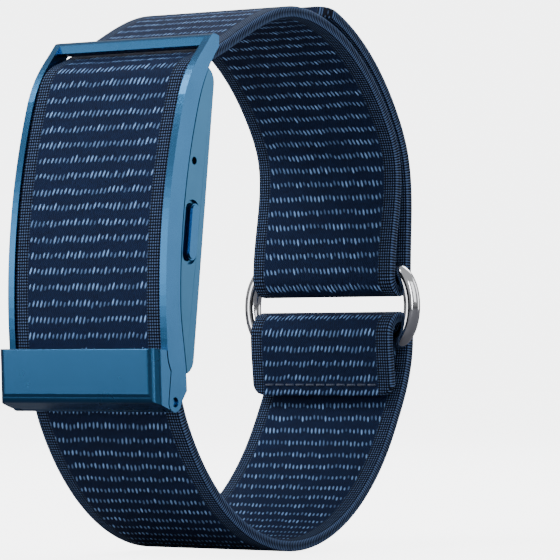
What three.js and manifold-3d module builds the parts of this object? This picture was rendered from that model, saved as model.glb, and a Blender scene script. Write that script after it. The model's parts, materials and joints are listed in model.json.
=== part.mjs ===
// A screenless fitness tracker on a woven wrist strap.
// Millimetres. X runs across the strap, towards the button. -Y is the front of the tracker. +Z is up.
// The origin is the middle of the loop, where the wrist goes.
import * as THREE from "three";
import { mergeVertices } from "three/addons/utils/BufferGeometryUtils.js";
import Module from "manifold-3d";

const wasm = await Module();
wasm.setup();

// ---- Strap and loop ----
const STRAP_WIDTH = 20;
const STRAP_THICKNESS = 1.3;
const LOOP_DEPTH = 51.5; // front to back, outside
const LOOP_HEIGHT = 62.8; // outside
const TAIL_GAP = 0.45; // between the two layers, filled by the hook patch
const TAIL_END_ANGLE = 75; // degrees above the back of the loop
const PATCH_THICKNESS = 0.3;
const PATCH_SPAN = 32; // degrees of the loop
const FLAP_LENGTH = 7.2; // the sewn end, below its fold

// ---- Ring ----
const WIRE_RADIUS = 1;
const BAR_SPACING = 8.4;
const RING_MIDDLE_Z = -2.9;
const RING_OVERHANG = 1.7; // from the strap's edge to the wire's centreline
const BAR_SETBACK = 0.8; // how far inside the strap's edge the wire starts to curve
const FOLD_SLACK = 0.65; // how far a bar can lift off the middle of its fold
const UPPER_FOLD_CLEARANCE = 0.1;
const LOWER_FOLD_CLEARANCE = 0.6; // leaves the ring its small swing

// ---- Tracker body, in its own leaning frame ----
const POD_TILT = 7; // degrees, top leaning back
const POD_BACK_Y = 6.65 - LOOP_DEPTH / 2;
const POD_MIDDLE_Z = 5.8;
const POD_LENGTH = 34.4;
const POD_DEPTH = 6.5; // rail lip to back face, at mid-length
const FRONT_RADIUS = 69;
const CORNER_RADIUS = 3;
const BACK_ROUND = 1.8;
const CASE_WALL = 0.8;
const SIDE_WALL = 0.85; // beside the rail's step
const STRAP_RECESS = 0.15; // the rails stand this far above the strap
const STRAP_SEAT_GAP = 0.1;
const STRAP_SIDE_GAP = 0.2;
const FIT_GAP = 0.15;

// ---- Frame and lever ----
const RAIL_WALL = 0.9;
const RAIL_DEPTH = 2.6;
const RAIL_TOP_Z = 13.4;
const RAIL_BOTTOM_Z = -9;
const BAR_FRONT_Y = -1.3;
const BAR_DEPTH = 1.6;
const BAR_HEIGHT = 1.5;
const BAR_GAP = 0.06; // above the strap
const LEVER_THICKNESS = 2.2;
const LEVER_HEIGHT = 5.9;
const LEVER_LEAN = 1;
const LEVER_END_ROUND = 1.2;
const PIN_RADIUS = 0.5;
const PIN_CLEARANCE = 0.06;
const BARREL_RADIUS = 1.1;
const LEVER_REACH = 3.3; // along the strap, from its bend to the pin
const STRAIGHT_RUN = 2.2; // of the strap, where it leaves each end of the tracker

// ---- Back cover and sensor ----
const COVER_THICKNESS = 0.8;
const GASKET_THICKNESS = 0.3;
const LEDGE = 0.9; // width of the rim that carries the cover
const COVER_MARGIN = 1.9; // metal beyond the cover at each end
const ISLAND_WIDTH = 14;
const ISLAND_LENGTH = 15;
const ISLAND_HEIGHT = 1.7;
const WINDOW_RADIUS = 4.6;
const WINDOW_THICKNESS = 0.7;
const SCREW_HEAD_RADIUS = 0.8;
const SCREW_SHANK_RADIUS = 0.45;
const SCREW_LENGTH = 1.5; // below the cover's back face
const SCREW_INSET = 1.7; // from the cover's edges
const BOSS_RADIUS = 1.1;
const CONTACT_RADIUS = 0.9;
const CONTACT_INSET = 3.5; // from the cover's lower end
const CONTACT_SPACING = 5;

// ---- Button ----
const BUTTON_LENGTH = 6.3;
const BUTTON_WIDTH = 1.6;
const BUTTON_PROUD = 0.5;
const BUTTON_Y = -2.25;
const BUTTON_Z = -1.5;
const BUTTON_GAP = 0.1;
const BUTTON_RECESS = 0.35;
const BUTTON_RECESS_RIM = 0.45;
const BUTTON_FLANGE = 0.3;
const BUTTON_TRAVEL = 0.3;
const SEAL_THICKNESS = 0.4;
const VENT_RADIUS = 0.45;
const VENT_Z = 6.4;
const VENT_Y = -2.6;

// ---- Electronics ----
const BOARD_THICKNESS = 0.4;
const BOARD_END_ROOM = 1.95; // from the cavity's end to the board's
const PART_END_ROOM = 4.05; // from the cavity's end to the battery or shield
const PART_GAP = 0.1;
const BOARD_SIDE_ROOM = 2.4;
const BATTERY_TOP_Z = -2;
const BATTERY_SIDE_ROOM = [0.4, 3];
const SHIELD_X = [-5.5, 2.5];
const SHIELD_LOW_Z = 5.6;
const SHIELD_BACK_Y = -1.3;
const MOTOR_X = [-6, 5];
const MOTOR_Z = [-1.4, 4.6];
const MOTOR_WALL = 0.5;
const MOTOR_TRAVEL = 0.8;
const MASS_GAP = 0.3;
const OPTICS_SIZE = [10, 9];
const OPTICS_THICKNESS = 0.3;
const LIGHT_SIZE = [1, 0.8];
const LIGHT_THICKNESS = 0.4;
const LIGHT_SPACING = 1.7;
const LIGHT_SENSOR_SIZE = [2.4, 1.4];
const LIGHT_SENSOR_THICKNESS = 0.35;
const LIGHT_SENSOR_OFFSET = 2.9;
const BAFFLE_OUTER = [7.2, 3.8];
const BAFFLE_INNER = [5.4, 2.2];
const CABLE_X = [6, 7.2];
const CABLE_Z = [3.2, 8.4];
const AERIAL_LENGTH = 8;

// ---- Derived ----
const halfStrap = STRAP_WIDTH / 2;
const halfThickness = STRAP_THICKNESS / 2;
const channel = halfStrap + STRAP_SIDE_GAP;
const halfWidth = channel + RAIL_WALL;
const tilt = THREE.MathUtils.degToRad(POD_TILT);
const frontCentre = FRONT_RADIUS - POD_DEPTH;
const floorDepth = STRAP_RECESS + STRAP_THICKNESS + STRAP_SEAT_GAP;
const strapDepth = STRAP_RECESS + halfThickness;
const cavityDepth = floorDepth + CASE_WALL;
const cornerReach = FRONT_RADIUS - floorDepth - CORNER_RADIUS;
const cornerAngle = Math.asin((POD_LENGTH / 2 - CORNER_RADIUS) / cornerReach);
const cornerY = frontCentre - cornerReach * Math.cos(cornerAngle);
const cornerZ = cornerReach * Math.sin(cornerAngle);
const strapCorner = CORNER_RADIUS + floorDepth - strapDepth;
const strapOuter = strapCorner + halfThickness;
const cavityHalf = channel - STRAP_SEAT_GAP - SIDE_WALL;
const loopA = LOOP_DEPTH / 2 - halfThickness;
const loopB = LOOP_HEIGHT / 2 - halfThickness;
const tailOffset = STRAP_THICKNESS + TAIL_GAP;

const FINISHES = {
  blueMetal: { color: 0x2c5f8a, roughness: 0.3, metalness: 1 },
  chrome: { color: 0xd6d8da, roughness: 0.12, metalness: 1 },
  steel: { color: 0xa9adb2, roughness: 0.35, metalness: 1 },
  gold: { color: 0xc9a55a, roughness: 0.3, metalness: 1 },
  fabric: { color: 0x1c2f52, roughness: 0.9, metalness: 0 },
  hookTape: { color: 0x14203a, roughness: 0.95, metalness: 0 },
  blackPlastic: { color: 0x16181c, roughness: 0.45, metalness: 0 },
  darkGlass: { color: 0x0a0c10, roughness: 0.08, metalness: 0 },
  rubber: { color: 0x202124, roughness: 0.8, metalness: 0 },
  board: { color: 0x1d5a38, roughness: 0.6, metalness: 0 },
  cell: { color: 0xb9bcc0, roughness: 0.4, metalness: 0.6 },
  diode: { color: 0xd8e0c8, roughness: 0.4, metalness: 0 },
};

// ---- Solids ----
function solid(geometry) {
  const bare = geometry.index ? geometry.clone() : mergeVertices(geometry);
  bare.deleteAttribute("normal");
  bare.deleteAttribute("uv");
  const merged = mergeVertices(bare, 1e-5);
  return new wasm.Manifold(
    new wasm.Mesh({
      numProp: 3,
      vertProperties: new Float32Array(merged.attributes.position.array),
      triVerts: new Uint32Array(merged.index.array),
    }),
  );
}

function named(name, body, finish) {
  const made = body.getMesh();
  const geometry = new THREE.BufferGeometry();
  geometry.setAttribute("position", new THREE.BufferAttribute(made.vertProperties, 3));
  geometry.setIndex(new THREE.BufferAttribute(made.triVerts, 1));
  geometry.computeVertexNormals();
  const mesh = new THREE.Mesh(geometry, new THREE.MeshStandardMaterial(FINISHES[finish]));
  mesh.name = name;
  return mesh;
}

// A side-view outline (y, z) extruded across the strap between two x values.
function across(shape, from, to, curveSegments = 10) {
  const options = { depth: to - from, bevelEnabled: false, curveSegments };
  const geometry = new THREE.ExtrudeGeometry(shape, options);
  const turn = new THREE.Matrix4().makeBasis(
    new THREE.Vector3(0, 1, 0),
    new THREE.Vector3(0, 0, 1),
    new THREE.Vector3(1, 0, 0),
  );
  geometry.applyMatrix4(turn);
  geometry.translate(from, 0, 0);
  return solid(geometry);
}

function acrossAll(shape, half, curveSegments) {
  return across(shape, -half, half, curveSegments);
}

// A back-view outline (x, z) extruded through the depth between two y values.
function through(shape, from, to, curveSegments = 6) {
  const options = { depth: to - from, bevelEnabled: false, curveSegments };
  const geometry = new THREE.ExtrudeGeometry(shape, options);
  const turn = new THREE.Matrix4().makeBasis(
    new THREE.Vector3(1, 0, 0),
    new THREE.Vector3(0, 0, 1),
    new THREE.Vector3(0, -1, 0),
  );
  geometry.applyMatrix4(turn);
  geometry.translate(0, to, 0);
  return solid(geometry);
}

function roundedRectangle(width, height, radius, middleX = 0, middleY = 0) {
  const left = middleX - width / 2;
  const right = middleX + width / 2;
  const low = middleY - height / 2;
  const high = middleY + height / 2;
  const shape = new THREE.Shape();
  shape.moveTo(left + radius, low);
  shape.lineTo(right - radius, low);
  shape.absarc(right - radius, low + radius, radius, -Math.PI / 2, 0, false);
  shape.lineTo(right, high - radius);
  shape.absarc(right - radius, high - radius, radius, 0, Math.PI / 2, false);
  shape.lineTo(left + radius, high);
  shape.absarc(left + radius, high - radius, radius, Math.PI / 2, Math.PI, false);
  shape.lineTo(left, low + radius);
  shape.absarc(left + radius, low + radius, radius, Math.PI, Math.PI * 1.5, false);
  return shape;
}

function block([x0, x1], [y0, y1], [z0, z1]) {
  const geometry = new THREE.BoxGeometry(x1 - x0, y1 - y0, z1 - z0);
  geometry.translate((x0 + x1) / 2, (y0 + y1) / 2, (z0 + z1) / 2);
  return solid(geometry);
}

// A block of this width and height around (x, z).
function tile([width, height], depths, x = 0, z = 0) {
  return block([x - width / 2, x + width / 2], depths, [z - height / 2, z + height / 2]);
}

function inset([low, high], by) {
  return [low + by, high - by];
}

function rodAcross(radius, from, to, y, z, sides = 24) {
  const geometry = new THREE.CylinderGeometry(radius, radius, to - from, sides);
  geometry.rotateZ(Math.PI / 2);
  geometry.translate((from + to) / 2, y, z);
  return solid(geometry);
}

function rodThrough(radius, from, to, x, z, sides = 20) {
  const geometry = new THREE.CylinderGeometry(radius, radius, to - from, sides);
  geometry.translate(x, (from + to) / 2, z);
  return solid(geometry);
}

// ---- The tracker's curved front ----
// A point at this depth below the rail lip.
function frontPoint(depth, z) {
  const radius = FRONT_RADIUS - depth;
  return new THREE.Vector2(frontCentre - Math.sqrt(radius * radius - z * z), z);
}

function frontArc(shape, depth, fromZ, toZ) {
  const radius = FRONT_RADIUS - depth;
  const start = Math.PI - Math.asin(fromZ / radius);
  const end = Math.PI - Math.asin(toZ / radius);
  shape.absarc(frontCentre, 0, radius, start, end, toZ > fromZ);
}

// The side view of the case or of its cavity: curved front, round ends, flat back.
function podOutline(depth, radius, backY) {
  const side = Math.PI - cornerAngle;
  const endAngle = Math.acos((backY - cornerY) / radius);
  const shape = new THREE.Shape();
  shape.moveTo(backY, -cornerZ - radius * Math.sin(endAngle));
  shape.absarc(cornerY, -cornerZ, radius, -endAngle, -side, true);
  shape.absarc(frontCentre, 0, FRONT_RADIUS - depth, Math.PI + cornerAngle, side, true);
  shape.absarc(cornerY, cornerZ, radius, side, endAngle, true);
  return shape;
}

// ---- The strap's route ----
const lean = new THREE.Vector2(Math.sin(tilt), Math.cos(tilt));

// From the tracker's leaning frame to the loop's frame.
function toLoop(y, z) {
  return new THREE.Vector2(
    POD_BACK_Y + y * lean.y + z * lean.x,
    POD_MIDDLE_Z - y * lean.x + z * lean.y,
  );
}

function circleArc(centre, radius, from, to, clockwise, steps) {
  const arc = new THREE.EllipseCurve(centre.x, centre.y, radius, radius, from, to, clockwise);
  return arc.getPoints(steps);
}

function loopArc(offset, from, to, steps) {
  const start = THREE.MathUtils.degToRad(from);
  const end = THREE.MathUtils.degToRad(to);
  const arc = new THREE.EllipseCurve(0, 0, loopA + offset, loopB + offset, start, end, to < from);
  return arc.getPoints(steps);
}

function loopPoint(offset, degrees) {
  return loopArc(offset, degrees, degrees, 1)[0];
}

// The direction of travel round the loop, front to back over the top.
function loopHeading(offset, degrees) {
  const angle = THREE.MathUtils.degToRad(degrees);
  const back = (loopA + offset) * Math.sin(angle);
  const fall = -(loopB + offset) * Math.cos(angle);
  return new THREE.Vector2(back, fall).normalize();
}

function bridge(from, heading, to, arrival, steps) {
  const reach = from.distanceTo(to) * 0.36;
  const curve = new THREE.CubicBezierCurve(
    from,
    from.clone().addScaledVector(heading, reach),
    to.clone().addScaledVector(arrival, -reach),
    to,
  );
  return curve.getPoints(steps);
}

function chain(...runs) {
  const points = [];
  for (const point of runs.flat()) {
    const last = points.at(-1);
    if (!last || last.distanceTo(point) > 0.05) points.push(point);
  }
  return points;
}

function sideways(points, index) {
  const before = points[Math.max(index - 1, 0)];
  const after = points[Math.min(index + 1, points.length - 1)];
  const along = after.clone().sub(before).normalize();
  return new THREE.Vector2(-along.y, along.x);
}

function offsetLine(points, distance) {
  return points.map((point, i) => point.clone().addScaledVector(sideways(points, i), distance));
}

// A closed band around a line, from one distance on its left to another.
function band(points, low, high) {
  return new THREE.Shape([...offsetLine(points, low), ...offsetLine(points, high).reverse()]);
}

const upperBarZ = RING_MIDDLE_Z + BAR_SPACING / 2;
const lowerBarZ = RING_MIDDLE_Z - BAR_SPACING / 2;
const upperFoldZ = upperBarZ - FOLD_SLACK;
const lowerFoldZ = lowerBarZ + FOLD_SLACK;
const upperFold = WIRE_RADIUS + UPPER_FOLD_CLEARANCE + halfThickness;
const lowerFold = WIRE_RADIUS + LOWER_FOLD_CLEARANCE + halfThickness;
const ringY = loopA * Math.sqrt(1 - (lowerFoldZ / loopB) ** 2) - lowerFold;
const down = new THREE.Vector2(0, -1);
const up = new THREE.Vector2(0, 1);

// Headings where the strap leaves the tracker's round ends, in the loop's frame.
const TOP_EXIT = THREE.MathUtils.degToRad(21);
const BOTTOM_EXIT = THREE.MathUtils.degToRad(-58);
const SPLIT_BACK_LOW = -35;
const SPLIT_FRONT_LOW = -147;
const SPLIT_TOP = 84;
const SPLIT_BACK_HIGH = 35;

function strapRoute() {
  const topCorner = toLoop(cornerY, cornerZ);
  const bottomCorner = toLoop(cornerY, -cornerZ);
  const frontMiddle = toLoop(frontCentre, 0);
  const frontTop = Math.PI - cornerAngle - tilt;
  const frontBottom = Math.PI + cornerAngle - tilt;
  const leave = TOP_EXIT + Math.PI / 2;
  const arrive = BOTTOM_EXIT - Math.PI / 2 + Math.PI * 2;
  const topArc = circleArc(topCorner, strapCorner, frontTop, leave, true, 8);
  const bottomArc = circleArc(bottomCorner, strapCorner, arrive, frontBottom, true, 5);
  const flapTop = new THREE.Vector2(ringY - lowerFold, lowerFoldZ);
  const foldOut = new THREE.Vector2(ringY + lowerFold, lowerFoldZ);
  const flapFoot = loopPoint(-tailOffset, flapAngle());
  const upperIn = new THREE.Vector2(ringY - upperFold, upperFoldZ);
  const rise = new THREE.Vector2(Math.cos(TOP_EXIT), Math.sin(TOP_EXIT));
  const climb = new THREE.Vector2(-Math.cos(BOTTOM_EXIT), -Math.sin(BOTTOM_EXIT));
  const runFoot = bottomArc[0].clone().addScaledVector(climb, -STRAIGHT_RUN);
  const runTop = topArc.at(-1).clone().addScaledVector(rise, STRAIGHT_RUN);
  return chain(
    bridge(flapFoot, up, flapTop, up, 5),
    circleArc(new THREE.Vector2(ringY, lowerFoldZ), lowerFold, Math.PI, 0, true, 12),
    bridge(foldOut, down, loopPoint(0, SPLIT_BACK_LOW), loopHeading(0, SPLIT_BACK_LOW), 8),
    loopArc(0, SPLIT_BACK_LOW, SPLIT_FRONT_LOW, 26),
    bridge(loopPoint(0, SPLIT_FRONT_LOW), loopHeading(0, SPLIT_FRONT_LOW), runFoot, climb, 6),
    bottomArc,
    circleArc(frontMiddle, FRONT_RADIUS - strapDepth, frontBottom, frontTop, true, 12),
    topArc,
    topArc.at(-1),
    bridge(runTop, rise, loopPoint(0, SPLIT_TOP), loopHeading(0, SPLIT_TOP), 8),
    loopArc(0, SPLIT_TOP, SPLIT_BACK_HIGH, 14),
    bridge(loopPoint(0, SPLIT_BACK_HIGH), loopHeading(0, SPLIT_BACK_HIGH), upperIn, down, 8),
    circleArc(new THREE.Vector2(ringY, upperFoldZ), upperFold, Math.PI, Math.PI * 2, false, 12),
  );
}

// The angle round the loop at which the sewn flap ends.
function flapAngle() {
  const endZ = lowerFoldZ - FLAP_LENGTH;
  return THREE.MathUtils.radToDeg(Math.asin(endZ / (loopB - tailOffset)));
}

const TAIL_SPLIT = 34;
const hingeY = ringY + upperFold;
const hingeZ = upperFoldZ + halfThickness + FIT_GAP;

function tailRoute() {
  const start = new THREE.Vector2(hingeY, hingeZ);
  const joined = loopPoint(tailOffset, TAIL_SPLIT);
  const heading = loopHeading(tailOffset, TAIL_SPLIT).negate();
  return chain(
    bridge(start, up, joined, heading, 8),
    loopArc(tailOffset, TAIL_SPLIT, TAIL_END_ANGLE, 16),
  );
}

function strapParts() {
  const main = acrossAll(band(strapRoute(), -halfThickness, halfThickness), halfStrap);
  const line = tailRoute();
  const flat = acrossAll(band(line, -halfThickness, halfThickness), halfStrap);
  const round = rodAcross(halfThickness, -halfStrap, halfStrap, hingeY, hingeZ, 16);
  const patchArc = loopArc(tailOffset, TAIL_END_ANGLE - PATCH_SPAN, TAIL_END_ANGLE - 2, 10);
  const near = halfThickness + (TAIL_GAP - PATCH_THICKNESS) / 2;
  const patch = acrossAll(band(patchArc, near, near + PATCH_THICKNESS), halfStrap - 1.2);
  return [
    named("strap_main", main, "fabric"),
    named("strap_tail", flat.add(round), "fabric"),
    named("hook_patch", patch, "hookTape"),
  ];
}

// ---- Ring: two straight bars joined by half-oval ends ----
class OvalEnd extends THREE.Curve {
  constructor(side, straight, bulge, rise) {
    super();
    Object.assign(this, { side, straight, bulge, rise });
  }
  getPoint(t, target = new THREE.Vector3()) {
    const angle = (t - 0.5) * Math.PI;
    const x = this.side * (this.straight + this.bulge * Math.cos(angle));
    return target.set(x, 0, this.rise * Math.sin(angle));
  }
}

function ovalRing() {
  const straight = halfStrap - BAR_SETBACK;
  const bulge = BAR_SETBACK + RING_OVERHANG;
  const section = new THREE.Shape();
  section.absarc(0, 0, WIRE_RADIUS, 0, Math.PI * 2, false);
  let ring = null;
  for (const side of [-1, 1]) {
    const path = new OvalEnd(side, straight, bulge, BAR_SPACING / 2);
    const options = { steps: 18, curveSegments: 7, bevelEnabled: false, extrudePath: path };
    const end = solid(new THREE.ExtrudeGeometry(section, options));
    ring = ring ? ring.add(end) : end;
    const bar = rodAcross(WIRE_RADIUS, -straight - 0.02, straight + 0.02, 0, side * BAR_SPACING / 2, 14);
    ring = ring.add(bar);
  }
  return named("oval_ring", ring.translate([0, ringY, RING_MIDDLE_Z]), "chrome");
}

// ---- Lever pin, placed just outside the strap where it leaves the tracker's lower end ----
const exitLocal = BOTTOM_EXIT + tilt;
const exitNormal = new THREE.Vector2(Math.sin(exitLocal), -Math.cos(exitLocal));
const exitAlong = new THREE.Vector2(Math.cos(exitLocal), Math.sin(exitLocal));
const lowerCorner = new THREE.Vector2(cornerY, -cornerZ);
const pin = lowerCorner
  .clone()
  .addScaledVector(exitNormal, strapOuter + BARREL_RADIUS + 0.3)
  .addScaledVector(exitAlong, LEVER_REACH);
const seatEnd = Math.atan2(exitNormal.y, exitNormal.x) + Math.PI * 2;
const plateSeat = strapOuter + 0.15;
const leverSeat = plateSeat + FIT_GAP + 0.05;
const leverTopZ = -cornerZ - leverSeat * Math.sin(cornerAngle) + 0.25;

// ---- Top bar, just above the strap where it leaves the tracker's upper end ----
const barLowZ = cornerZ + strapOuter * Math.cos(TOP_EXIT + tilt) + BAR_GAP
  + (BAR_FRONT_Y + BAR_DEPTH - cornerY + strapOuter * Math.sin(TOP_EXIT + tilt)) * Math.tan(TOP_EXIT + tilt);
const barBackY = BAR_FRONT_Y + BAR_DEPTH;

// The side plate: curved rail, bent back to the top bar, widening to the lever's lug at the bottom.
function sideOutline(grow) {
  const barTop = barLowZ + BAR_HEIGHT;
  const railTop = frontPoint(0, RAIL_TOP_Z);
  const backTop = frontPoint(RAIL_DEPTH + grow, RAIL_TOP_Z - 1);
  const backLow = frontPoint(RAIL_DEPTH + grow, RAIL_BOTTOM_Z);
  const heelY = -COVER_THICKNESS + grow;
  const heelZ = pin.y + BARREL_RADIUS + 0.4;
  const lipLow = frontPoint(0, leverTopZ + FIT_GAP);
  const shape = new THREE.Shape();
  shape.moveTo(lipLow.x, lipLow.y);
  frontArc(shape, 0, lipLow.y, RAIL_TOP_Z);
  shape.bezierCurveTo(railTop.x + 0.9, RAIL_TOP_Z + 3.6, BAR_FRONT_Y - 1.6, barLowZ - 1.4, BAR_FRONT_Y, barTop - 0.5);
  shape.quadraticCurveTo(BAR_FRONT_Y + 0.3, barTop, BAR_FRONT_Y + 0.8, barTop);
  shape.lineTo(barBackY, barTop - 0.1);
  shape.lineTo(barBackY + 0.1, barLowZ + 0.2);
  shape.bezierCurveTo(barBackY - 1.2, barLowZ - 1.6, backTop.x + 0.5, backTop.y + 3, backTop.x, backTop.y);
  frontArc(shape, RAIL_DEPTH + grow, backTop.y, backLow.y);
  shape.bezierCurveTo(backLow.x + 0.3, backLow.y - 3, heelY - 0.7, heelZ + 4, heelY, heelZ);
  shape.lineTo(pin.x + BARREL_RADIUS, pin.y);
  shape.absarc(pin.x, pin.y, BARREL_RADIUS, 0, -Math.PI, true);
  const top = Math.PI - Math.asin((leverTopZ + FIT_GAP + cornerZ) / plateSeat);
  shape.absarc(lowerCorner.x, lowerCorner.y, plateSeat, seatEnd, top, true);
  return shape;
}

function outerFrame() {
  const plate = sideOutline(0);
  const left = across(plate, -halfWidth, -channel, 12);
  const right = across(plate, channel, halfWidth, 12);
  const bar = acrossAll(barOutline(), halfWidth - 0.1);
  const bore = rodAcross(PIN_RADIUS + PIN_CLEARANCE, -halfWidth - 1, halfWidth + 1, pin.x, pin.y);
  const frame = left.add(right).add(bar).subtract(bore);
  return named("outer_frame", frame, "blueMetal");
}

function barOutline() {
  const shape = new THREE.Shape();
  const top = barLowZ + BAR_HEIGHT;
  shape.moveTo(BAR_FRONT_Y, barLowZ + 0.1);
  shape.lineTo(BAR_FRONT_Y, top - 0.5);
  shape.quadraticCurveTo(BAR_FRONT_Y + 0.3, top, BAR_FRONT_Y + 0.8, top);
  shape.lineTo(barBackY, top - 0.1);
  shape.lineTo(barBackY, barLowZ + 0.3);
  shape.lineTo(barBackY - 0.3, barLowZ);
  shape.lineTo(BAR_FRONT_Y + 0.2, barLowZ);
  return shape;
}

// Room in the lever for the frame's lug and the edge that runs from it to the strap's bend.
function lugRoom(from, to) {
  const foot = new THREE.Vector2(pin.x - BARREL_RADIUS, pin.y);
  const seat = exitNormal.clone().multiplyScalar(plateSeat).add(lowerCorner);
  const edge = seat.clone().sub(foot).normalize();
  const out = new THREE.Vector2(-edge.y, edge.x).multiplyScalar(FIT_GAP);
  const inward = out.clone().multiplyScalar(-1.5 / FIT_GAP);
  const shape = new THREE.Shape([
    foot.clone().add(out),
    seat.clone().add(out),
    seat.clone().add(inward),
    foot.clone().add(inward),
  ]);
  return across(shape, from, to).add(rodAcross(BARREL_RADIUS + FIT_GAP, from, to, pin.x, pin.y));
}

// A leaning block whose front corners are round, which gives the lever its soft ends.
function roundedEnds(frontY, top) {
  const reach = 14;
  const outline = roundedRectangle(halfWidth * 2, reach, LEVER_END_ROUND, 0, frontY + reach / 2);
  const height = LEVER_HEIGHT * 3;
  const geometry = new THREE.ExtrudeGeometry(outline, { depth: height, bevelEnabled: false, curveSegments: 6 });
  const slope = -LEVER_LEAN / LEVER_HEIGHT;
  const leaning = new THREE.Matrix4().set(1, 0, 0, 0, 0, 1, slope, 0, 0, 0, 1, 0, 0, 0, 0, 1);
  geometry.translate(0, 0, -height);
  geometry.applyMatrix4(leaning);
  geometry.translate(0, 0, top);
  return solid(geometry).add(block([-halfWidth, halfWidth], [pin.x - BARREL_RADIUS, 2], [top - height, top + 1]));
}

function claspParts() {
  const half = halfWidth;
  const shape = new THREE.Shape();
  const top = leverTopZ;
  const backTop = lowerCorner.x - Math.sqrt(leverSeat ** 2 - (top - lowerCorner.y) ** 2);
  const frontY = backTop - LEVER_THICKNESS;
  const low = top - LEVER_HEIGHT;
  const toeY = frontY + LEVER_LEAN;
  shape.moveTo(backTop, top);
  shape.lineTo(frontY + 0.3, top);
  shape.quadraticCurveTo(frontY, top, frontY + 0.02, top - 0.35);
  shape.quadraticCurveTo(frontY + 0.1, top - LEVER_HEIGHT * 0.6, toeY, low + 0.6);
  shape.quadraticCurveTo(toeY + 0.1, low, toeY + 0.7, low - 0.05);
  shape.lineTo(pin.x, pin.y - BARREL_RADIUS + 0.05);
  shape.lineTo(pin.x, pin.y);
  const reach = Math.PI + cornerAngle + Math.asin(0.25 / leverSeat);
  shape.absarc(lowerCorner.x, lowerCorner.y, leverSeat, seatEnd, reach, true);
  const plate = acrossAll(shape, half, 12).intersect(roundedEnds(frontY, top));
  const barrel = rodAcross(BARREL_RADIUS, -halfStrap, halfStrap, pin.x, pin.y);
  const bore = rodAcross(PIN_RADIUS + PIN_CLEARANCE, -half - 1, half + 1, pin.x, pin.y);
  const rooms = lugRoom(-half - 1, -halfStrap).add(lugRoom(halfStrap, half + 1));
  const lever = plate.subtract(rooms).add(barrel).subtract(bore);
  const rod = rodAcross(PIN_RADIUS, -half + 0.3, half - 0.3, pin.x, pin.y);
  return [named("clasp_lever", lever, "blueMetal"), named("clasp_pin", rod, "steel")];
}

// ---- Case, cover and what fastens them ----
const coverHalfWidth = cavityHalf + LEDGE - FIT_GAP;
const coverHalfLength = POD_LENGTH / 2 - COVER_MARGIN;
const cavityHalfLength = coverHalfLength - LEDGE + FIT_GAP;
const ledgeY = -COVER_THICKNESS - GASKET_THICKNESS - PART_GAP;
const coverInnerY = -COVER_THICKNESS;
const screwX = coverHalfWidth - SCREW_INSET;
const screwZ = coverHalfLength - SCREW_INSET;
const screwTipY = -SCREW_LENGTH;
const COVER_CORNER = 3;
const contactZ = -coverHalfLength + CONTACT_INSET;

function corners() {
  const places = [];
  for (const x of [-1, 1]) for (const z of [-1, 1]) places.push([x * screwX, z * screwZ]);
  return places;
}

function buttonOutline(grow) {
  const width = BUTTON_WIDTH + grow * 2;
  return roundedRectangle(width, BUTTON_LENGTH + grow * 2, width / 2 - 0.01, BUTTON_Y, BUTTON_Z);
}

function caseShell() {
  const softBack = roundedRectangle(20, POD_LENGTH, BACK_ROUND, -10, 0);
  const body = acrossAll(podOutline(floorDepth, CORNER_RADIUS, 0), halfWidth, 12)
    .intersect(acrossAll(softBack, halfWidth + 1));
  const hollow = acrossAll(podOutline(cavityDepth, CORNER_RADIUS - CASE_WALL, ledgeY), cavityHalf);
  const trim = block([-cavityHalf - 1, cavityHalf + 1], [-POD_DEPTH, 1], [-cavityHalfLength, cavityHalfLength]);
  const inset = roundedRectangle(
    (coverHalfWidth + FIT_GAP) * 2,
    (coverHalfLength + FIT_GAP) * 2,
    COVER_CORNER + FIT_GAP,
  );
  const throat = roundedRectangle(cavityHalf * 2, cavityHalfLength * 2, COVER_CORNER - 1);
  let shell = body
    .subtract(hollow.intersect(trim))
    .subtract(through(throat, ledgeY - 0.5, 0.5))
    .subtract(through(inset, ledgeY, 0.5));
  for (const side of [-1, 1]) {
    const low = side < 0 ? -halfWidth - 1 : channel - STRAP_SEAT_GAP;
    const high = side < 0 ? -channel + STRAP_SEAT_GAP : halfWidth + 1;
    shell = shell.subtract(across(sideOutline(FIT_GAP), low, high, 12));
  }
  for (const [x, z] of corners()) {
    const boss = rodThrough(BOSS_RADIUS, -POD_DEPTH, ledgeY, x, z).intersect(body);
    shell = shell.add(boss.subtract(rodThrough(SCREW_SHANK_RADIUS + 0.1, screwTipY - 0.2, 1, x, z)));
  }
  const hole = across(buttonOutline(BUTTON_GAP), cavityHalf - 1, halfWidth + 1, 8);
  const dish = across(buttonOutline(BUTTON_RECESS_RIM), halfWidth - BUTTON_RECESS, halfWidth + 1, 8);
  const vent = rodAcross(VENT_RADIUS, cavityHalf - 1, halfWidth + 1, VENT_Y, VENT_Z, 16);
  return named("case_shell", shell.subtract(hole).subtract(dish).subtract(vent), "blueMetal");
}

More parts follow.
